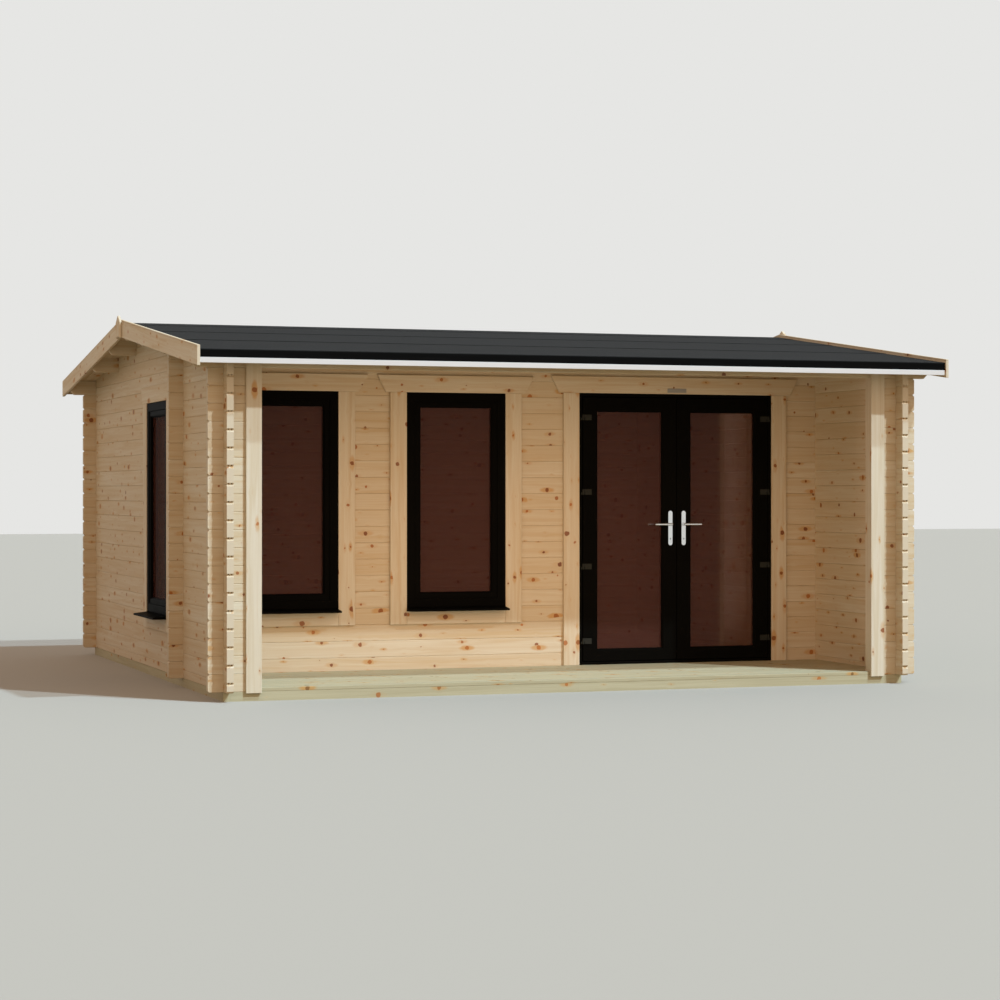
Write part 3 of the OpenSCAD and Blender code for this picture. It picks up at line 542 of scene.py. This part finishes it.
# Roof boards
# Tongued boards run down each slope from ridge to eaves, nailed to the purlins, with a V at every
# joint that shows from below.
roof_pitch = math.radians(7.1)
roof_count = 46
roof_gap = 0.0006
roof_v = 0.003
roof_low, roof_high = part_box("front_roof_boards")
roof_width = (roof_high[0] - roof_low[0]) / roof_count
spruce_roof = spruce("spruce_roof_boards", ALONG_Y, rows=("Y", -roof_high[0], roof_width), pitch=roof_pitch)


def slope_boards(node, name):
    """Boards down a slope in place of the CAD sheet, with eased lower edges."""
    same_place = 1e-6
    low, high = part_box(node)
    side = -1 if low[1] + high[1] < 0 else 1
    span = high[1] - low[1]
    rise = span * math.tan(roof_pitch)
    thick = high[2] - low[2] - rise
    width = (high[0] - low[0]) / roof_count
    shear = Matrix.Identity(4)
    shear[2][1] = -side * math.tan(roof_pitch)
    bm = bmesh.new()
    for i in range(roof_count):
        board = bmesh.ops.create_cube(bm, size=1.0)["verts"]
        bmesh.ops.scale(bm, verts=board, vec=(width - roof_gap, span, thick))
        bmesh.ops.translate(bm, verts=board, vec=(low[0] + (i + 0.5) * width, 0, 0))
    lower = [e for e in bm.edges if all(v.co.z < 0 for v in e.verts)
             and abs(e.verts[0].co.x - e.verts[1].co.x) < same_place]
    round_edges(bm, lower, roof_v, segments=1)
    bmesh.ops.transform(bm, matrix=shear, verts=bm.verts)
    bmesh.ops.translate(bm, verts=bm.verts, vec=(0, (low[1] + high[1]) / 2, (low[2] + high[2]) / 2))
    made = mesh_object(name, bm)
    made.data.materials.append(spruce_roof)
    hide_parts(node)
    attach(made, "cabin")


slope_boards("front_roof_boards", "front_boards")
slope_boards("rear_roof_boards", "rear_boards")

# Felt
# Charcoal mineral felt laid along the slopes in runs that lap down the roof, with a strip over the ridge.
# The lowest run of each slope is folded down over the fascia.
felt_sheet = 0.002
felt_lap = 0.08
felt_bend = 0.004
bend_steps = 5
ridge_clear = 0.01
ridge_half = 0.25
felt_low, felt_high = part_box("roof_felt")
felt_reach = felt_high[1] - 2 * felt_sheet
felt_bed = felt_high[2] - 2 * felt_sheet / math.cos(roof_pitch)
felt_width = (felt_reach + 2 * felt_lap) / 3


def felt_point(y, lift=0.0):
    """A point on the bed of the front slope, at a distance from the ridge."""
    return -y, felt_bed - y * math.tan(roof_pitch) + lift


def felt_run(bm, profile):
    """Add a sheet along X whose lower face follows the points of a profile."""
    low = [bm.verts.new((felt_low[0], y, z)) for y, z in profile]
    line = [bm.edges.new(pair) for pair in zip(low, low[1:])]
    made = bmesh.ops.extrude_edge_only(bm, edges=line)["geom"]
    bmesh.ops.translate(bm, verts=verts_in(made), vec=(felt_high[0] - felt_low[0], 0, 0))
    faces = [f for f in made if isinstance(f, bmesh.types.BMFace)]
    for face in faces:
        face.normal_update()
        if face.normal.z - face.normal.y < 0:
            face.normal_flip()
    bmesh.ops.solidify(bm, geom=faces, thickness=-felt_sheet)


bm = bmesh.new()
centre_y = felt_reach - felt_bend
touch_y = centre_y + felt_bend * math.sin(roof_pitch)
centre_z = felt_point(touch_y)[1] - felt_bend * math.cos(roof_pitch)
bends = [roof_pitch + (math.pi / 2 - roof_pitch) * i / bend_steps for i in range(bend_steps + 1)]
fold = [(-centre_y - felt_bend * math.sin(a), centre_z + felt_bend * math.cos(a)) for a in bends]
felt_run(bm, [felt_point(felt_reach - felt_width)] + fold + [(-felt_reach, felt_low[2])])
for lap in (1, 2):
    lower = felt_reach - lap * (felt_width - felt_lap)
    felt_run(bm, [felt_point(max(lower - felt_width, ridge_clear)), felt_point(lower, felt_sheet)])
rear = verts_in(bmesh.ops.duplicate(bm, geom=bm.verts[:] + bm.edges[:] + bm.faces[:])["geom"])
bmesh.ops.rotate(bm, verts=rear, cent=(0, 0, 0), matrix=Matrix.Rotation(math.pi, 3, "Z"))
ridge_foot = felt_point(ridge_half, felt_sheet)
felt_run(bm, [(-ridge_foot[0], ridge_foot[1]), felt_point(0, felt_sheet), ridge_foot])
bmesh.ops.recalc_face_normals(bm, faces=bm.faces)

# The upright faces of the fold take the second material, a darker copy of the felt that is painted shade, but
# not the thin edges of the laps
fold_facing = 0.9
least_fold = 0.01
for face in bm.faces:
    is_fold = abs(face.normal.y) > fold_facing and face.calc_area() > least_fold
    face.material_index = 1 if is_fold else 0
felt_runs = mesh_object("felt_runs", bm)

# Grey stone grit on black bitumen, so the sheet is dark and dull with a little light at low angles.
# Faint streaks 80 mm wide run along it as it came off the roll.
felt_grit = 0.0015
grit_depth = 0.001
streak_length = 2.0
streak_width = 0.08
felt, tree = new_material("mineral_felt")
where = add_node(tree, "ShaderNodeTexCoord").outputs["Object"]
grit = add_node(tree, "ShaderNodeTexNoise", {
    "Vector": where, "Scale": 1 / felt_grit, "Detail": 2.0}).outputs[0]
rolled = add_node(tree, "ShaderNodeMapping", {
    "Vector": where, "Scale": (1 / streak_length, 1 / streak_width, 1)}).outputs[0]
patch = add_node(tree, "ShaderNodeTexNoise", {"Vector": rolled, "Scale": 1.0, "Detail": 4.0}).outputs[0]
fleck = add_node(tree, "ShaderNodeMix", {"Factor": grit, "A": linear("#0D0D0D"), "B": linear("#222222")},
                 data_type="RGBA").outputs["Result"]
cloud = add_node(tree, "ShaderNodeMix", {"Factor": patch, "A": fleck, "B": linear("#171717")},
                 data_type="RGBA").outputs["Result"]
bump = add_node(tree, "ShaderNodeBump", {"Strength": 0.5, "Distance": grit_depth, "Height": grit}).outputs[0]
shader = add_node(tree, "ShaderNodeBsdfPrincipled", {
    "Base Color": cloud, "Roughness": 0.75, "Normal": bump, "Specular IOR Level": 0.08}).outputs[0]
add_node(tree, "ShaderNodeOutputMaterial", {"Surface": shader})
felt_runs.data.materials.append(felt)

# Painted shade on the fold: a darker, duller copy of the felt, with faint ripples 20 mm high along it
ripple_length = 0.25
ripple_height = 0.02
ripple_depth = 0.001
fold_shade_felt, tree = new_material("fold_painted_shade")
where = add_node(tree, "ShaderNodeTexCoord").outputs["Object"]
rolled = add_node(tree, "ShaderNodeMapping", {
    "Vector": where, "Scale": (1 / ripple_length, 1, 1 / ripple_height)}).outputs[0]
ripple = add_node(tree, "ShaderNodeTexNoise", {"Vector": rolled, "Scale": 1.0, "Detail": 2.0}).outputs[0]
tint = add_node(tree, "ShaderNodeMix", {"Factor": ripple, "A": linear("#080808"), "B": linear("#101010")},
                data_type="RGBA").outputs["Result"]
bump = add_node(tree, "ShaderNodeBump", {
    "Strength": 0.2, "Distance": ripple_depth, "Height": ripple}).outputs[0]
shader = add_node(tree, "ShaderNodeBsdfPrincipled", {
    "Base Color": tint, "Roughness": 0.7, "Normal": bump, "Specular IOR Level": 0.02}).outputs[0]
add_node(tree, "ShaderNodeOutputMaterial", {"Surface": shader})
felt_runs.data.materials.append(fold_shade_felt)
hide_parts("roof_felt")
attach(felt_runs, "cabin")

# Fascias and drip strips
# Boards close the ends of the roof boards at both eaves, and a white strip covers
# their lower half below the felt.
strip_edge = 0.0015
finish_node("eaves_fascias", spruce_x)

# Extruded white PVC: smooth and half glossy, with a faint cold mottle a sixth of a metre wide
mottle_size = 1 / 6
white_strip, tree = new_material("white_pvc_strip")
where = add_node(tree, "ShaderNodeTexCoord").outputs["Object"]
mottle = add_node(tree, "ShaderNodeTexNoise", {
    "Vector": where, "Scale": 1 / mottle_size, "Detail": 3.0}).outputs[0]
tint = add_node(tree, "ShaderNodeMix", {"Factor": mottle, "A": linear("#D8D8DA"), "B": linear("#D0D0D2")},
                data_type="RGBA").outputs["Result"]
shader = add_node(tree, "ShaderNodeBsdfPrincipled", {"Base Color": tint, "Roughness": 0.4}).outputs[0]
add_node(tree, "ShaderNodeOutputMaterial", {"Surface": shader})
softened("drip_strips", "drip_strip_pair", strip_edge, [white_strip])

# Bargeboards
# Planed boards on both verges, butted at the apex, with a light capping nailed to their top
# edges and a pointed plate over the joint.
verge_edge = 0.002
apex_edge = 0.006
spruce_slope = spruce("spruce_down_slope", ALONG_Y, pitch=roof_pitch)
spruce_z = spruce("spruce_upright", ALONG_Z)
softened("bargeboards", "verge_boards", verge_edge, [spruce_slope])
softened("verge_caps", "verge_cappings", verge_edge, [spruce_slope])
softened("apex_plates", "apex_boards", apex_edge, [spruce_z])


# Windows
# Black foiled plastic frames with a sash in each, sloped beads round the glass and a sill below.
# They stand in the openings of the log walls.
def black_satin(name, code, code_light, rough):
    """Foiled frame plastic or powder coat: near black and satin, its fine grain drawn 4 mm wide to show."""
    leather_grain = 0.004
    leather_depth = 0.0004
    cloud_size = 1 / 3
    made, tree = new_material(name)
    where = add_node(tree, "ShaderNodeTexCoord").outputs["Object"]
    grain = add_node(tree, "ShaderNodeTexNoise", {
        "Vector": where, "Scale": 1 / leather_grain, "Detail": 2.0}).outputs[0]
    cloud = add_node(tree, "ShaderNodeTexNoise", {
        "Vector": where, "Scale": 1 / cloud_size, "Detail": 2.0}).outputs[0]
    tint = add_node(tree, "ShaderNodeMix", {"Factor": cloud, "A": linear(code), "B": linear(code_light)},
                    data_type="RGBA").outputs["Result"]
    sheen = add_node(tree, "ShaderNodeMapRange", {
        "Value": cloud, "To Min": rough - 0.05, "To Max": rough + 0.08}).outputs[0]
    bump = add_node(tree, "ShaderNodeBump", {
        "Strength": 0.15, "Distance": leather_depth, "Height": grain}).outputs[0]
    shader = add_node(tree, "ShaderNodeBsdfPrincipled", {
        "Base Color": tint, "Roughness": sheen, "Normal": bump, "Specular IOR Level": 0.003}).outputs[0]
    add_node(tree, "ShaderNodeOutputMaterial", {"Surface": shader})
    return made


frame_edge = 0.004
sash_edge = 0.002
sill_edge = 0.003
frame_plastic = black_satin("black_frame_plastic", "#0A0A09", "#100F0D", 0.38)
softened("window_frames", "window_frame_rings", frame_edge, [frame_plastic])
softened("window_sashes", "window_sash_rings", sash_edge, [frame_plastic])
softened("window_sills", "window_sill_boards", sill_edge, [frame_plastic])

# Glass
# Bronze tinted units with polished faces. Their tint is a brown film through which the room shows faintly.
# The index is high because one slab here mirrors as much as the four faces of a double-glazed unit.
tint_drift = 2 / 3
bronze, tree = new_material("bronze_glass")
where = add_node(tree, "ShaderNodeTexCoord").outputs["Object"]
drift = add_node(tree, "ShaderNodeTexNoise", {
    "Vector": where, "Scale": 1 / tint_drift, "Detail": 1.0}).outputs[0]
tint = add_node(tree, "ShaderNodeMix", {"Factor": drift, "A": linear("#623A32"), "B": linear("#5C362E")},
                data_type="RGBA").outputs["Result"]
shader = add_node(tree, "ShaderNodeBsdfPrincipled", {
    "Base Color": tint, "Roughness": 0.0, "IOR": 2.2, "Alpha": 0.4}).outputs[0]
add_node(tree, "ShaderNodeOutputMaterial", {"Surface": shader})
for name in ("window_glass", "left_door_glass", "right_door_glass"):
    finish_node(name, bronze)

# Boards round windows and door
# Planed spruce boards nailed over the joint between logs and frames, with the grain along each.
# The head boards have slanted ends.
trim_edge = 0.0025
spruce_y = spruce("spruce_deep", ALONG_Y)
board_grains = [spruce_x, spruce_y, spruce_z]
softened("window_trims", "window_boards", trim_edge, board_grains)
softened("door_trim", "door_boards", trim_edge, board_grains)

# Plate over the door
# A small bare plate of dull grey metal with rounded corners, fixed flat to the lower edge
# of the door's head board.
plate_size = Vector((0.148, 0.003, 0.03))
plate_foot = 0.010
plate_corner = 0.004
plate_edge = 0.001
board_low, board_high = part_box("door_trim")
plate_at = ((board_low[0] + board_high[0]) / 2, board_low[1] - plate_size[1] / 2,
            door_high[2] + plate_foot + plate_size[2] / 2)
bm = bmesh.new()
bmesh.ops.create_cube(bm, size=1.0)
bmesh.ops.scale(bm, verts=bm.verts, vec=plate_size)
corner_edges = [e for e in bm.edges if abs(e.verts[0].co.y - e.verts[1].co.y) > plate_size[1] / 2]
round_edges(bm, corner_edges, plate_corner, segments=4)
front_edges = [e for e in bm.edges if all(v.co.y < 0 for v in e.verts)]
round_edges(bm, front_edges, plate_edge)
bmesh.ops.translate(bm, verts=bm.verts, vec=plate_at)
bare_plate = mesh_object("bare_plate", bm)

# Brushed along its length: fine lines, drawn 2 mm apart so that they show, and a dull spread of light
brush_length = 0.125
brush_gap = 0.002
grey_metal, tree = new_material("dull_grey_metal")
where = add_node(tree, "ShaderNodeTexCoord").outputs["Object"]
brushed = add_node(tree, "ShaderNodeMapping", {
    "Vector": where, "Scale": (1 / brush_length, 1 / brush_gap, 1 / brush_gap)}).outputs[0]
brushing = add_node(tree, "ShaderNodeTexNoise", {"Vector": brushed, "Scale": 1.0, "Detail": 2.0}).outputs[0]
tint = add_node(tree, "ShaderNodeMix", {"Factor": brushing, "A": linear("#96948F"), "B": linear("#A5A39E")},
                data_type="RGBA").outputs["Result"]
shader = add_node(tree, "ShaderNodeBsdfPrincipled", {
    "Base Color": tint, "Roughness": 0.55, "Metallic": 0.3}).outputs[0]
add_node(tree, "ShaderNodeOutputMaterial", {"Surface": shader})
bare_plate.data.materials.append(grey_metal)
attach(bare_plate, "cabin")

# Doors
# Two glazed leaves of the windows' black plastic in one frame, hung on four powder-coated hinges
# each and opening outwards.
leaf_edge = 0.003
softened("door_frame", "door_frame_ring", frame_edge, [frame_plastic])
softened("left_door_leaf", "left_leaf_ring", leaf_edge, [frame_plastic], "left_door")
softened("right_door_leaf", "right_leaf_ring", leaf_edge, [frame_plastic], "right_door")
hinge_coat = black_satin("dark_hinge_coat", "#2A2B28", "#363734", 0.42)
for name in ("frame_hinges", "left_door_hinges", "right_door_hinges"):
    finish_node(name, hinge_coat)

# Handles
# Tall plates of polished metal on both faces of each leaf, with a sprung lever and a lock below it.
# Finger marks 25 mm wide make them mirror a little less in places.
smear_size = 0.025
silver, tree = new_material("polished_handle_metal")
where = add_node(tree, "ShaderNodeTexCoord").outputs["Object"]
smear = add_node(tree, "ShaderNodeTexNoise", {
    "Vector": where, "Scale": 1 / smear_size, "Detail": 3.0}).outputs[0]
sheen = add_node(tree, "ShaderNodeMapRange", {"Value": smear, "To Min": 0.16, "To Max": 0.3}).outputs[0]
shader = add_node(tree, "ShaderNodeBsdfPrincipled", {
    "Base Color": linear("#F0F0F0"), "Metallic": 1.0, "Roughness": sheen}).outputs[0]
add_node(tree, "ShaderNodeOutputMaterial", {"Surface": shader})
for name in ("left_door_handles", "left_door_lever", "right_door_handles", "right_door_lever"):
    finish_node(name, silver)

# Keyholes
# Each lock's cylinder has a round keyhole with a slot below it in both of its faces.
# They are painted shade: thin inlays of the black frame plastic where the holes show dark.
keyhole_r = 0.0035
slot_size = (0.003, 0.001, 0.009)
lock_foot = 0.050
for side in ("left", "right"):
    low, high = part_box(side + "_door_handles")
    bm = bmesh.new()
    for y in (low[1], high[1]):
        at = Matrix.Translation(((low[0] + high[0]) / 2, y, low[2] + lock_foot))
        round_at = at @ Matrix.Rotation(math.pi / 2, 4, "X")
        slot_at = at @ Matrix.Translation((0, 0, -slot_size[2] / 2))
        # Painted shade of the round keyhole and, below it, of its slot
        bmesh.ops.create_cone(bm, cap_ends=True, segments=24, radius1=keyhole_r, radius2=keyhole_r,
                              depth=slot_size[1], matrix=round_at)
        slot = bmesh.ops.create_cube(bm, size=1.0, matrix=slot_at)["verts"]
        bmesh.ops.scale(bm, verts=slot, vec=slot_size, space=slot_at.inverted())
    keyhole_shades = mesh_object(side + "_keyholes", bm)
    keyhole_shades.data.materials.append(frame_plastic)
    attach(keyhole_shades, side + "_door")
